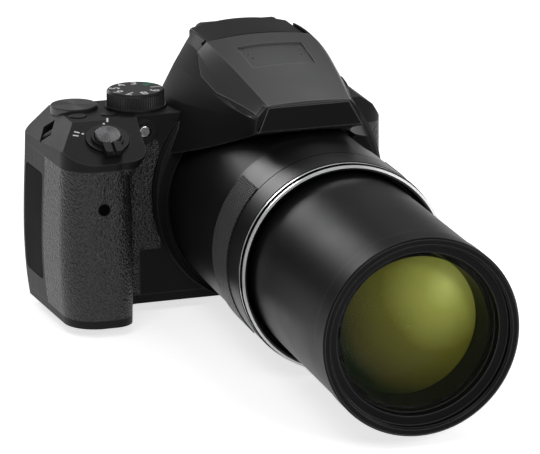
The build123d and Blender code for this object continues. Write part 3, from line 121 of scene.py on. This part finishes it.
# Stage: metres, and watts for the lamps, each given by name, place, target, size and power
FLOOR_HEIGHT = -0.0042
FLOOR_SIZE = 30
FLOOR_GREY = 0.82
FLOOR_GLOW = 0.7
WORLD_STRENGTH = 0.3
LAMPS = (
    ("key", (-0.5, -0.9, 1.2), (0, -0.05, 0.04), (0.6, 0.6), 4.5),
    ("rear_left", (-0.35, 1.7, 0.72), (0, -0.05, 0.04), (0.5, 0.5), 5.0),
    ("rear_top", (0.45, 0.8, 1.1), (0, -0.05, 0.06), (0.6, 0.4), 2.6),
    ("front", (0.45, -1.8, 0.95), (0, -0.1, 0.04), (0.6, 0.5), 10.0),
    ("right", (1.2, -0.5, 0.5), (0, -0.1, 0.04), (0.3, 0.7), 3.5),
)

# Camera that took the photograph: metres, degrees, and millimetres for the lens and sensor
CAMERA_PLACE = (-0.41180, -1.35261, 0.44335)
CAMERA_TARGET = (-0.000156, -0.02872, 0.03067)
CAMERA_ROLL = -0.46
CAMERA_LENS = 246.6
CAMERA_SENSOR = 36.0
CAMERA_SHIFT = (-0.0097, -0.0066)


# Shader nodes


def new_material(name):
    material = bpy.data.materials.new(name)
    material.use_nodes = True
    return material, material.node_tree.nodes, material.node_tree.links


def principled(nodes):
    return next(node for node in nodes if node.type == "BSDF_PRINCIPLED")


def add(nodes, kind, **values):
    """Node of a kind: a value named like one of its attributes sets that, any other sets an input socket."""
    node = nodes.new(kind)
    for key, value in values.items():
        if hasattr(node, key):
            setattr(node, key, value)
        else:
            node.inputs[key.replace("_", " ")].default_value = value
    return node


def operate(nodes, links, kind, operation, operands):
    """Math node of a kind, whose operands are constants or sockets."""
    node = add(nodes, kind, operation=operation)
    for socket, value in zip(node.inputs, operands):
        if isinstance(value, (int, float, tuple)):
            socket.default_value = value
        else:
            links.new(value, socket)
    return node


def math_node(nodes, links, operation, *operands):
    return operate(nodes, links, "ShaderNodeMath", operation, operands).outputs[0]


def vector_node(nodes, links, operation, *operands):
    return operate(nodes, links, "ShaderNodeVectorMath", operation, operands)


def own_place(nodes):
    """Place of the shaded point in its piece's own frame, so that patterns move with the piece."""
    return add(nodes, "ShaderNodeTexCoord").outputs["Object"]


def split(nodes, links, vector):
    """X, Y and Z of a vector."""
    axes = add(nodes, "ShaderNodeSeparateXYZ")
    links.new(vector, axes.inputs[0])
    return axes.outputs


def noise(nodes, links, place, scale, detail, roughness=0.5):
    node = add(nodes, "ShaderNodeTexNoise", Scale=scale, Detail=detail, Roughness=roughness)
    links.new(place, node.inputs["Vector"])
    return node.outputs


def map_range(nodes, links, value, **limits):
    node = add(nodes, "ShaderNodeMapRange", **limits)
    links.new(value, node.inputs["Value"])
    return node.outputs["Result"]


def mix(nodes, links, factor, first, second):
    """Colour between two, by a factor; the first may be a socket."""
    tone = add(nodes, "ShaderNodeMix", data_type="RGBA")
    links.new(factor, tone.inputs[MIX_FACTOR])
    if isinstance(first, tuple):
        tone.inputs[MIX_FIRST].default_value = (*first, 1)
    else:
        links.new(first, tone.inputs[MIX_FIRST])
    tone.inputs[MIX_SECOND].default_value = (*second, 1)
    return tone.outputs[MIX_RESULT]


def tones(nodes, links, factor, colour, shares):
    """A colour made darker or lighter by a factor."""
    low, high = (tuple(channel * share for channel in colour) for share in shares)
    return mix(nodes, links, factor, low, high)


def set_roughness(nodes, links, shader, factor, low, high):
    links.new(map_range(nodes, links, factor, To_Min=low, To_Max=high), shader.inputs["Roughness"])


def set_bump(nodes, links, shader, relief, height):
    bump = add(nodes, "ShaderNodeBump", Strength=1.0, Distance=height)
    links.new(relief, bump.inputs["Height"])
    links.new(bump.outputs["Normal"], shader.inputs["Normal"])


def light_path_switch(nodes, links):
    """1 for rays that see the background: camera, glossy and transmission rays."""
    path = add(nodes, "ShaderNodeLightPath").outputs
    first = math_node(nodes, links, "MAXIMUM", path["Is Camera Ray"], path["Is Glossy Ray"])
    return math_node(nodes, links, "MAXIMUM", first, path["Is Transmission Ray"])


# Materials


def worn_edges(nodes, links, colour, edge):
    """Painted highlight: colour that turns lighter where the surface bends sharply, standing in for the light
    that the rounded edges of moulded pieces catch.
    """
    rounded = add(nodes, "ShaderNodeBevel", samples=EDGE_SAMPLES, Radius=EDGE_RADIUS)
    surface = add(nodes, "ShaderNodeNewGeometry")
    facing = vector_node(nodes, links, "DOT_PRODUCT", rounded.outputs["Normal"], surface.outputs["Normal"])
    bend = map_range(nodes, links, facing.outputs["Value"], From_Min=EDGE_START, From_Max=EDGE_FULL)
    return mix(nodes, links, bend, colour, (edge, edge, edge * HIGHLIGHT_BLUE))


def grained(name, colour, rough, grain, height, spread=0.06, specular=0.3, edge=None):
    """Moulded or painted surface: a fine grain in the bump, wear in the roughness and slow shifts of tone,
    and a painted highlight on sharp edges when edge is given.
    """
    material, nodes, links = new_material(name)
    shader = principled(nodes)
    shader.inputs["Specular IOR Level"].default_value = specular
    place = own_place(nodes)
    fine = noise(nodes, links, place, grain, 4.0, 0.6)["Fac"]
    slow = noise(nodes, links, place, 45.0, 3.0, 0.55)["Fac"]
    set_roughness(nodes, links, shader, slow, rough - spread, rough + spread)
    shown = tones(nodes, links, slow, colour, PAINT_TONES)
    # Painted highlight on the sharp edges, where an edge colour is given
    if edge:
        shown = worn_edges(nodes, links, shown, edge)
    links.new(shown, shader.inputs["Base Color"])
    set_bump(nodes, links, shader, fine, height)
    return material


def pebbled(name, colour, rough, size, height, specular=0.35):
    """Rubber with a leather-like grain: rounded pebbles of uneven size with creases between them, the pebble
    tops painted lighter as a sheen and the creases painted darker as shade.
    """
    material, nodes, links = new_material(name)
    shader = principled(nodes)
    shader.inputs["Specular IOR Level"].default_value = specular
    place = own_place(nodes)
    stir = noise(nodes, links, place, STIR_SCALE, 2.0)["Color"]
    moved = vector_node(nodes, links, "MULTIPLY_ADD", stir, STIR_REACH, place)
    cells = add(nodes, "ShaderNodeTexVoronoi", feature="SMOOTH_F1", Scale=1 / size, Smoothness=0.5)
    links.new(moved.outputs[0], cells.inputs["Vector"])
    distance = cells.outputs["Distance"]
    fine = noise(nodes, links, place, 1800.0, 3.0)["Fac"]
    relief = math_node(nodes, links, "MULTIPLY_ADD", distance, -1.0, 1.0)
    set_bump(nodes, links, shader, math_node(nodes, links, "MULTIPLY_ADD", fine, FINE_SHARE, relief), height)
    # Painted shade in the creases and painted sheen on the pebble tops
    crease_shade = map_range(nodes, links, distance, From_Min=CREASE_START, From_Max=CREASE_FULL)
    links.new(tones(nodes, links, crease_shade, colour, PEBBLE_SHEEN_AND_SHADE), shader.inputs["Base Color"])
    set_roughness(nodes, links, shader, distance, rough - 0.08, rough + 0.1)
    return material


def turned(name, colour, rough, lines, centre):
    """Radially brushed metal face, with fine rays from its centre."""
    material, nodes, links = new_material(name)
    shader = principled(nodes)
    shader.inputs["Metallic"].default_value = 0.75
    shader.inputs["Anisotropic"].default_value = 0.7
    tangent = add(nodes, "ShaderNodeTangent", direction_type="RADIAL", axis="Z")
    links.new(tangent.outputs["Tangent"], shader.inputs["Tangent"])
    apart = vector_node(nodes, links, "SUBTRACT", own_place(nodes), centre)
    axes = split(nodes, links, apart.outputs[0])
    rays = add(nodes, "ShaderNodeTexNoise", noise_dimensions="1D", Scale=lines, Detail=5.0)
    links.new(math_node(nodes, links, "ARCTAN2", axes["Y"], axes["X"]), rays.inputs["W"])
    fine = rays.outputs["Fac"]
    set_roughness(nodes, links, shader, fine, rough - 0.05, rough + 0.08)
    links.new(tones(nodes, links, fine, colour, METAL_TONES), shader.inputs["Base Color"])
    set_bump(nodes, links, shader, fine, 0.000008)
    return material


def knurled(name, colour, rough, pitch, height):
    """Raised diamonds wrapped round the lens axis, with painted shade in the grooves and a painted highlight
    on the diamonds.
    """
    material, nodes, links = new_material(name)
    shader = principled(nodes)
    shader.inputs["Specular IOR Level"].default_value = 0.45
    axes = split(nodes, links, own_place(nodes))
    rise = math_node(nodes, links, "SUBTRACT", axes["Z"], LENS_AXIS_HEIGHT)
    angle = math_node(nodes, links, "ARCTAN2", rise, axes["X"])
    across = math_node(nodes, links, "MULTIPLY", angle, RING_RADIUS * math.tau / pitch)
    along = math_node(nodes, links, "MULTIPLY", axes["Y"], math.tau / pitch)
    ridges = []
    for direction in ("ADD", "SUBTRACT"):
        slant = math_node(nodes, links, direction, across, along)
        ridges.append(math_node(nodes, links, "ABSOLUTE", math_node(nodes, links, "SINE", slant)))
    relief = math_node(nodes, links, "MINIMUM", *ridges)
    # Painted shade in the grooves and painted highlight on the diamonds
    links.new(tones(nodes, links, relief, colour, KNURL_SHADE_AND_HIGHLIGHT), shader.inputs["Base Color"])
    set_bump(nodes, links, shader, relief, height)
    set_roughness(nodes, links, shader, relief, rough + 0.15, rough)
    return material


def polished(name, colour, rough):
    """Bare metal of one colour, with a little unevenness in its gloss."""
    material, nodes, links = new_material(name)
    shader = principled(nodes)
    shader.inputs["Metallic"].default_value = 1.0
    shader.inputs["Base Color"].default_value = (*colour, 1)
    fine = noise(nodes, links, own_place(nodes), 900.0, 3.0)["Fac"]
    set_roughness(nodes, links, shader, fine, rough, rough + 0.1)
    return material


def bright_rings(name):
    """Two polished bands round the lens axis, with dark lacquer between them and inside the front one."""
    material, nodes, links = new_material(name)
    shader = principled(nodes)
    shader.inputs["Metallic"].default_value = 0.4
    shader.inputs["Roughness"].default_value = 0.18
    place = own_place(nodes)
    axes = split(nodes, links, place)
    rise = math_node(nodes, links, "SUBTRACT", axes["Z"], LENS_AXIS_HEIGHT)
    across = math_node(nodes, links, "MULTIPLY", axes["X"], axes["X"])
    radius = math_node(nodes, links, "SQRT", math_node(nodes, links, "MULTIPLY_ADD", rise, rise, across))
    rear = math_node(nodes, links, "GREATER_THAN", axes["Y"], REAR_BAND_FRONT)
    front = math_node(nodes, links, "LESS_THAN", axes["Y"], FRONT_BAND_REAR)
    outside = math_node(nodes, links, "GREATER_THAN", radius, FRONT_BAND_INNER)
    front_outside = math_node(nodes, links, "MULTIPLY", front, outside)
    chrome = math_node(nodes, links, "MAXIMUM", rear, front_outside)
    links.new(mix(nodes, links, chrome, LACQUER_COLOUR, CHROME_COLOUR), shader.inputs["Base Color"])
    fine = noise(nodes, links, place, 1500.0, 3.0)["Fac"]
    set_bump(nodes, links, shader, fine, 0.000003)
    return material


def thin_glass(name, colour, alpha, rough=0.03, dust=0.05, specular=0.5):
    """Clear glass that shows what lies behind it, with a little uneven dust in its gloss."""
    material, nodes, links = new_material(name)
    shader = principled(nodes)
    shader.inputs["Base Color"].default_value = (*colour, 1)
    shader.inputs["Alpha"].default_value = alpha
    shader.inputs["Specular IOR Level"].default_value = specular
    specks = noise(nodes, links, own_place(nodes), 600.0, 6.0, 0.7)["Fac"]
    set_roughness(nodes, links, shader, specks, rough, rough + dust)
    return material


def coated_glass(name):
    """Front group's coating tint with a painted reflection and a painted glow: bright yellow-green towards
    the upper right, dark olive at the lower left.
    """
    material, nodes, links = new_material(name)
    shader = principled(nodes)
    shader.inputs["Specular IOR Level"].default_value = 0.05
    shader.inputs["Roughness"].default_value = 0.12
    place = own_place(nodes)
    middle = vector_node(nodes, links, "SUBTRACT", place, COAT_REFLECTION_CENTRE)
    flat = vector_node(nodes, links, "MULTIPLY", middle.outputs[0], (1, 0, 1))
    reach = vector_node(nodes, links, "LENGTH", flat.outputs[0])
    share = math_node(nodes, links, "DIVIDE", reach.outputs["Value"], COAT_REFLECTION_REACH)
    haze = noise(nodes, links, place, 60.0, 2.0)["Fac"]
    stirred = math_node(nodes, links, "MULTIPLY_ADD", haze, COAT_HAZE, share)
    ramp = add(nodes, "ShaderNodeValToRGB")
    stops = ramp.color_ramp.elements
    stops[0].color = COAT_REFLECTION_NEAR
    stops[1].color = COAT_REFLECTION_FAR
    for position, colour in COAT_REFLECTION_BETWEEN:
        stops.new(position).color = colour
    links.new(stirred, ramp.inputs["Fac"])
    links.new(ramp.outputs["Color"], shader.inputs["Base Color"])
    # The same colours also glow: a painted glow, the glass being no lamp
    links.new(ramp.outputs["Color"], shader.inputs["Emission Color"])
    shader.inputs["Emission Strength"].default_value = COAT_GLOW
    return material


# The edge values below paint highlights onto the pieces' sharp edges.
shell = grained("shell", (0.0088, 0.0088, 0.0094), rough=0.48, grain=2600.0, height=0.00004,
                specular=0.13, edge=0.035)
finder_paint = grained("finder_paint", (0.003, 0.003, 0.0032), rough=0.5, grain=2600.0, height=0.00003,
                       specular=0.12)
lid_paint = grained("lid_paint", (0.022, 0.022, 0.0232), rough=0.42, grain=2600.0, height=0.00004,
                    specular=0.32, edge=0.11)
satin = grained("satin", (0.009, 0.009, 0.0095), rough=0.42, grain=3200.0, height=0.00001, specular=0.2)
barrel_paint = grained("barrel_paint", (0.0055, 0.0055, 0.006), rough=0.37, grain=3200.0, height=0.000008,
                       specular=0.08)
rim_paint = grained("rim_paint", (0.0035, 0.0035, 0.004), rough=0.37, grain=3200.0, height=0.000008,
                    specular=0.08, edge=0.06)
ring_paint = grained("ring_paint", (0.007, 0.007, 0.0074), rough=0.33, grain=3200.0, height=0.000008,
                     specular=0.2)
gloss = grained("gloss", (0.0018, 0.0018, 0.002), rough=0.12, grain=2000.0, height=0.000002,
                spread=0.04, specular=0.3, edge=0.12)
hole = grained("hole", (0.0006, 0.0006, 0.0006), rough=0.3, grain=2000.0, height=0.000002,
               spread=0.04, specular=0.02)
dull = grained("dull", (0.005, 0.005, 0.005), rough=0.6, grain=1500.0, height=0.00003, specular=0.2)
rubber = pebbled("rubber", (0.016, 0.016, 0.0168), rough=0.36, size=0.0008, height=0.00045, specular=0.4)
fine_rubber = pebbled("fine_rubber", (0.009, 0.009, 0.0095), rough=0.5, size=0.0008, height=0.00022,
                      specular=0.2)
door_rubber = grained("door_rubber", (0.006, 0.006, 0.0065), rough=0.65, grain=1400.0, height=0.00004,
                      specular=0.04)
dial_metal = grained("dial_metal", (0.008, 0.008, 0.0085), rough=0.34, grain=1800.0, height=0.00001,
                     specular=0.3, edge=0.04)
command_metal = turned("command_metal", (0.06, 0.06, 0.062), rough=0.3, lines=26.0,
                       centre=COMMAND_DIAL_CENTRE)
shutter_metal = turned("shutter_metal", (0.14, 0.14, 0.145), rough=0.26, lines=20.0,
                       centre=SHUTTER_CENTRE)
knurl = knurled("knurl", (0.03, 0.03, 0.031), rough=0.3, pitch=0.0036, height=0.0006)
trim = bright_rings("trim")
steel = polished("steel", (0.12, 0.12, 0.125), rough=0.35)
brass = polished("brass", (0.6, 0.43, 0.17), rough=0.28)
clear = thin_glass("clear", (0.1, 0.12, 0.05), alpha=0.03, rough=0.02, dust=0.02, specular=0.03)
lamp = thin_glass("lamp", (0.8, 0.8, 0.78), alpha=0.85, rough=0.12)
silver = polished("silver", (0.62, 0.62, 0.62), rough=0.2)
finder_glass = thin_glass("finder_glass", (0.06, 0.07, 0.08), alpha=0.7)
coating_and_reflection = coated_glass("coating_and_reflection")
screen = grained("screen", (0.008, 0.009, 0.011), rough=0.08, grain=900.0, height=0.000002,
                 spread=0.04, specular=0.5)
white_ink = grained("white_ink", (0.7, 0.7, 0.7), rough=0.5, grain=2500.0, height=0.000005)
green_ink = grained("green_ink", (0.01, 0.3, 0.14), rough=0.5, grain=2500.0, height=0.000005)
board = grained("board", (0.02, 0.09, 0.035), rough=0.45, grain=700.0, height=0.00006)
battery_case = grained("battery_case", (0.06, 0.06, 0.065), rough=0.5, grain=1500.0, height=0.00003)

finishes = (
    (shell, ["front_cover", "rear_cover", "top_cover", "base_cover", "hump_cover", "battery_door"]),
    (finder_paint, ["finder_housing"]),
    (lid_paint, ["flash_lid"]),
    (satin, ["fixed_barrel", "monitor_frame", "zoom_lever", "selector_ring", "side_zoom_lever", "ok_button",
             "record_button", "menu_button", "delete_button", "flash_button", "power_button",
             "function_button", "diopter_dial"]),
    (ring_paint, ["control_ring"]),
    (barrel_paint, ["zoom_barrel"]),
    (rim_paint, ["filter_ring"]),
    (gloss, ["name_plate"]),
    (hole, ["ir_window"]),
    (dull, ["cam_barrel", "variator_frame", "focus_frame", "chassis", "flash_head"]),
    (rubber, ["grip_rubber", "side_rubber"]),
    (fine_rubber, ["thumb_rest", "eyepiece_cup"]),
    (door_rubber, ["port_door"]),
    (dial_metal, ["mode_dial"]),
    (command_metal, ["command_dial"]),
    (shutter_metal, ["shutter_button"]),
    (knurl, ["ring_grip_pads"]),
    (trim, ["trim_rings"]),
    (steel, ["strap_lugs", "case_screws", "hinge_pins", "guide_rods", "zoom_motor", "connectors"]),
    (brass, ["tripod_socket", "zoom_pinion"]),
    (clear, ["front_lens", "variator_lens", "focus_lens"]),
    (lamp, ["flash_window"]),
    (silver, ["af_lamp"]),
    (finder_glass, ["eyepiece_lens", "image_sensor"]),
    (coating_and_reflection, ["second_lens"]),
    (screen, ["monitor_glass"]),
    (board, ["main_board"]),
    (battery_case, ["battery"]),
)
for material, names in finishes:
    for name in names:
        for material_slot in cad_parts[name].material_slots:
            material_slot.material = material


# Softened edges that catch the light


def soften(name, width):
    """Small round on the sharp edges of a CAD piece."""
    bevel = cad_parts[name].modifiers.new("soft_edges", "BEVEL")
    bevel.width = width
    bevel.segments = SOFT_EDGE_SEGMENTS
    bevel.limit_method = "ANGLE"
    bevel.angle_limit = math.radians(SHARP_ANGLE)
    bevel.harden_normals = True


for piece_name, edge_width in SOFT_EDGES:
    soften(piece_name, edge_width)


# Small marks


def printed(name, outlines, material, body, place):
    """Thin marks on a flat face, with corners in the face's own frame, which place puts on the part."""
    mesh = bmesh.new()
    for corners in outlines:
        mesh.faces.new([mesh.verts.new(place @ Vector((x, y, MARK_LIFT))) for x, y in corners])
    data = bpy.data.meshes.new(name)
    mesh.to_mesh(data)
    mesh.free()
    data.materials.append(material)
    piece = bpy.data.objects.new(name, data)
    bpy.context.scene.collection.objects.link(piece)
    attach(piece, body)


def bar(angle, radius, length, width):
    """Corners of a bar whose long side points away from the centre."""
    turn = math.radians(angle)
    out = Vector((math.cos(turn), math.sin(turn)))
    side = Vector((-out.y, out.x)) * width / 2
    inner, outer = out * (radius - length / 2), out * (radius + length / 2)
    return [tuple(inner - side), tuple(outer - side), tuple(outer + side), tuple(inner + side)]


def dot(angle, radius, size):
    """Corners of a small disc."""
    turn = math.radians(angle)
    middle = Vector((math.cos(turn), math.sin(turn))) * radius
    corners = [step * math.tau / DOT_CORNERS for step in range(DOT_CORNERS)]
    return [(middle.x + size * math.cos(corner), middle.y + size * math.sin(corner)) for corner in corners]


def numerals(body, place, radius, size, values):
    """Plain numbers round a dial, feet towards its centre."""
    for index, value in enumerate(values):
        angle = index * math.tau / len(values)
        text = bpy.data.curves.new(f"dial_number_{value}", "FONT")
        text.body = str(value)
        text.size = size
        text.offset = size * NUMBER_WEIGHT
        text.align_x = "CENTER"
        text.align_y = "CENTER"
        text.materials.append(green_ink if value == GREEN_NUMBER else white_ink)
        piece = bpy.data.objects.new(f"dial_number_{value}", text)
        bpy.context.scene.collection.objects.link(piece)
        spot = Vector((radius * math.cos(angle), radius * math.sin(angle), MARK_LIFT))
        upright = Matrix.Rotation(angle - math.pi / 2, 4, "Z")
        piece.matrix_world = place @ Matrix.Translation(spot) @ upright
        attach(piece, body)


dial_face = Matrix.Translation((*MODE_DIAL_CENTRE, MODE_DIAL_TOP))
numerals("mode_dial_body", dial_face, MODE_DIAL_RADIUS * NUMBER_CIRCLE, MODE_DIAL_RADIUS * NUMBER_HEIGHT,
         range(1, DIAL_NUMBERS + 1))
deck_face = Matrix.Translation(SHUTTER_CENTRE) @ Matrix.Rotation(math.radians(DECK_TILT), 4, "X")
lever_marks = [dot(angle, DOT_CIRCLE, DOT_SIZE) for angle in DOT_ANGLES]
lever_marks += [bar(angle, BAR_CIRCLE, length, width) for angle, length, width in BARS]
printed("zoom_marks", lever_marks, white_ink, "camera_body", deck_face)


# Stage, lights and camera


def make_floor():
    """White floor that looks like the background and still takes the camera's shadow."""
    material, nodes, links = new_material("floor_white")
    shader = principled(nodes)
    shader.inputs["Base Color"].default_value = (FLOOR_GREY, FLOOR_GREY, FLOOR_GREY, 1)
    shader.inputs["Roughness"].default_value = 0.9
    shader.inputs["Emission Color"].default_value = (1, 1, 1, 1)
    strength = math_node(nodes, links, "MULTIPLY", light_path_switch(nodes, links), FLOOR_GLOW)
    links.new(strength, shader.inputs["Emission Strength"])
    bpy.ops.mesh.primitive_plane_add(size=FLOOR_SIZE, location=(0, 0, FLOOR_HEIGHT))
    floor = bpy.context.object
    floor.name = "floor"
    floor.data.materials.append(material)


def make_world():
    world = bpy.data.worlds.new("studio")
    bpy.context.scene.world = world
    world.use_nodes = True
    background = next(node for node in world.node_tree.nodes if node.type == "BACKGROUND")
    background.inputs["Color"].default_value = (1, 1, 1, 1)
    background.inputs["Strength"].default_value = WORLD_STRENGTH


def area_lamp(name, place, target, size, energy):
    data = bpy.data.lights.new(name, "AREA")
    data.shape = "RECTANGLE"
    data.size, data.size_y = size
    data.energy = energy
    lamp_object = bpy.data.objects.new(name, data)
    bpy.context.scene.collection.objects.link(lamp_object)
    lamp_object.location = place
    direction = Vector(target) - Vector(place)
    lamp_object.rotation_euler = direction.to_track_quat("-Z", "Y").to_euler()


def make_camera():
    data = bpy.data.cameras.new("camera")
    data.sensor_fit = "HORIZONTAL"
    data.sensor_width = CAMERA_SENSOR
    data.lens = CAMERA_LENS
    data.shift_x, data.shift_y = CAMERA_SHIFT
    camera = bpy.data.objects.new("camera", data)
    bpy.context.scene.collection.objects.link(camera)
    direction = Vector(CAMERA_TARGET) - Vector(CAMERA_PLACE)
    turn = direction.to_track_quat("-Z", "Y").to_matrix()
    turn = turn @ Matrix.Rotation(math.radians(CAMERA_ROLL), 3, "Z")
    camera.matrix_world = Matrix.Translation(CAMERA_PLACE) @ turn.to_4x4()
    bpy.context.scene.camera = camera


make_floor()
make_world()
for lamp_values in LAMPS:
    area_lamp(*lamp_values)
make_camera()
bpy.context.scene.view_settings.view_transform = "Standard"
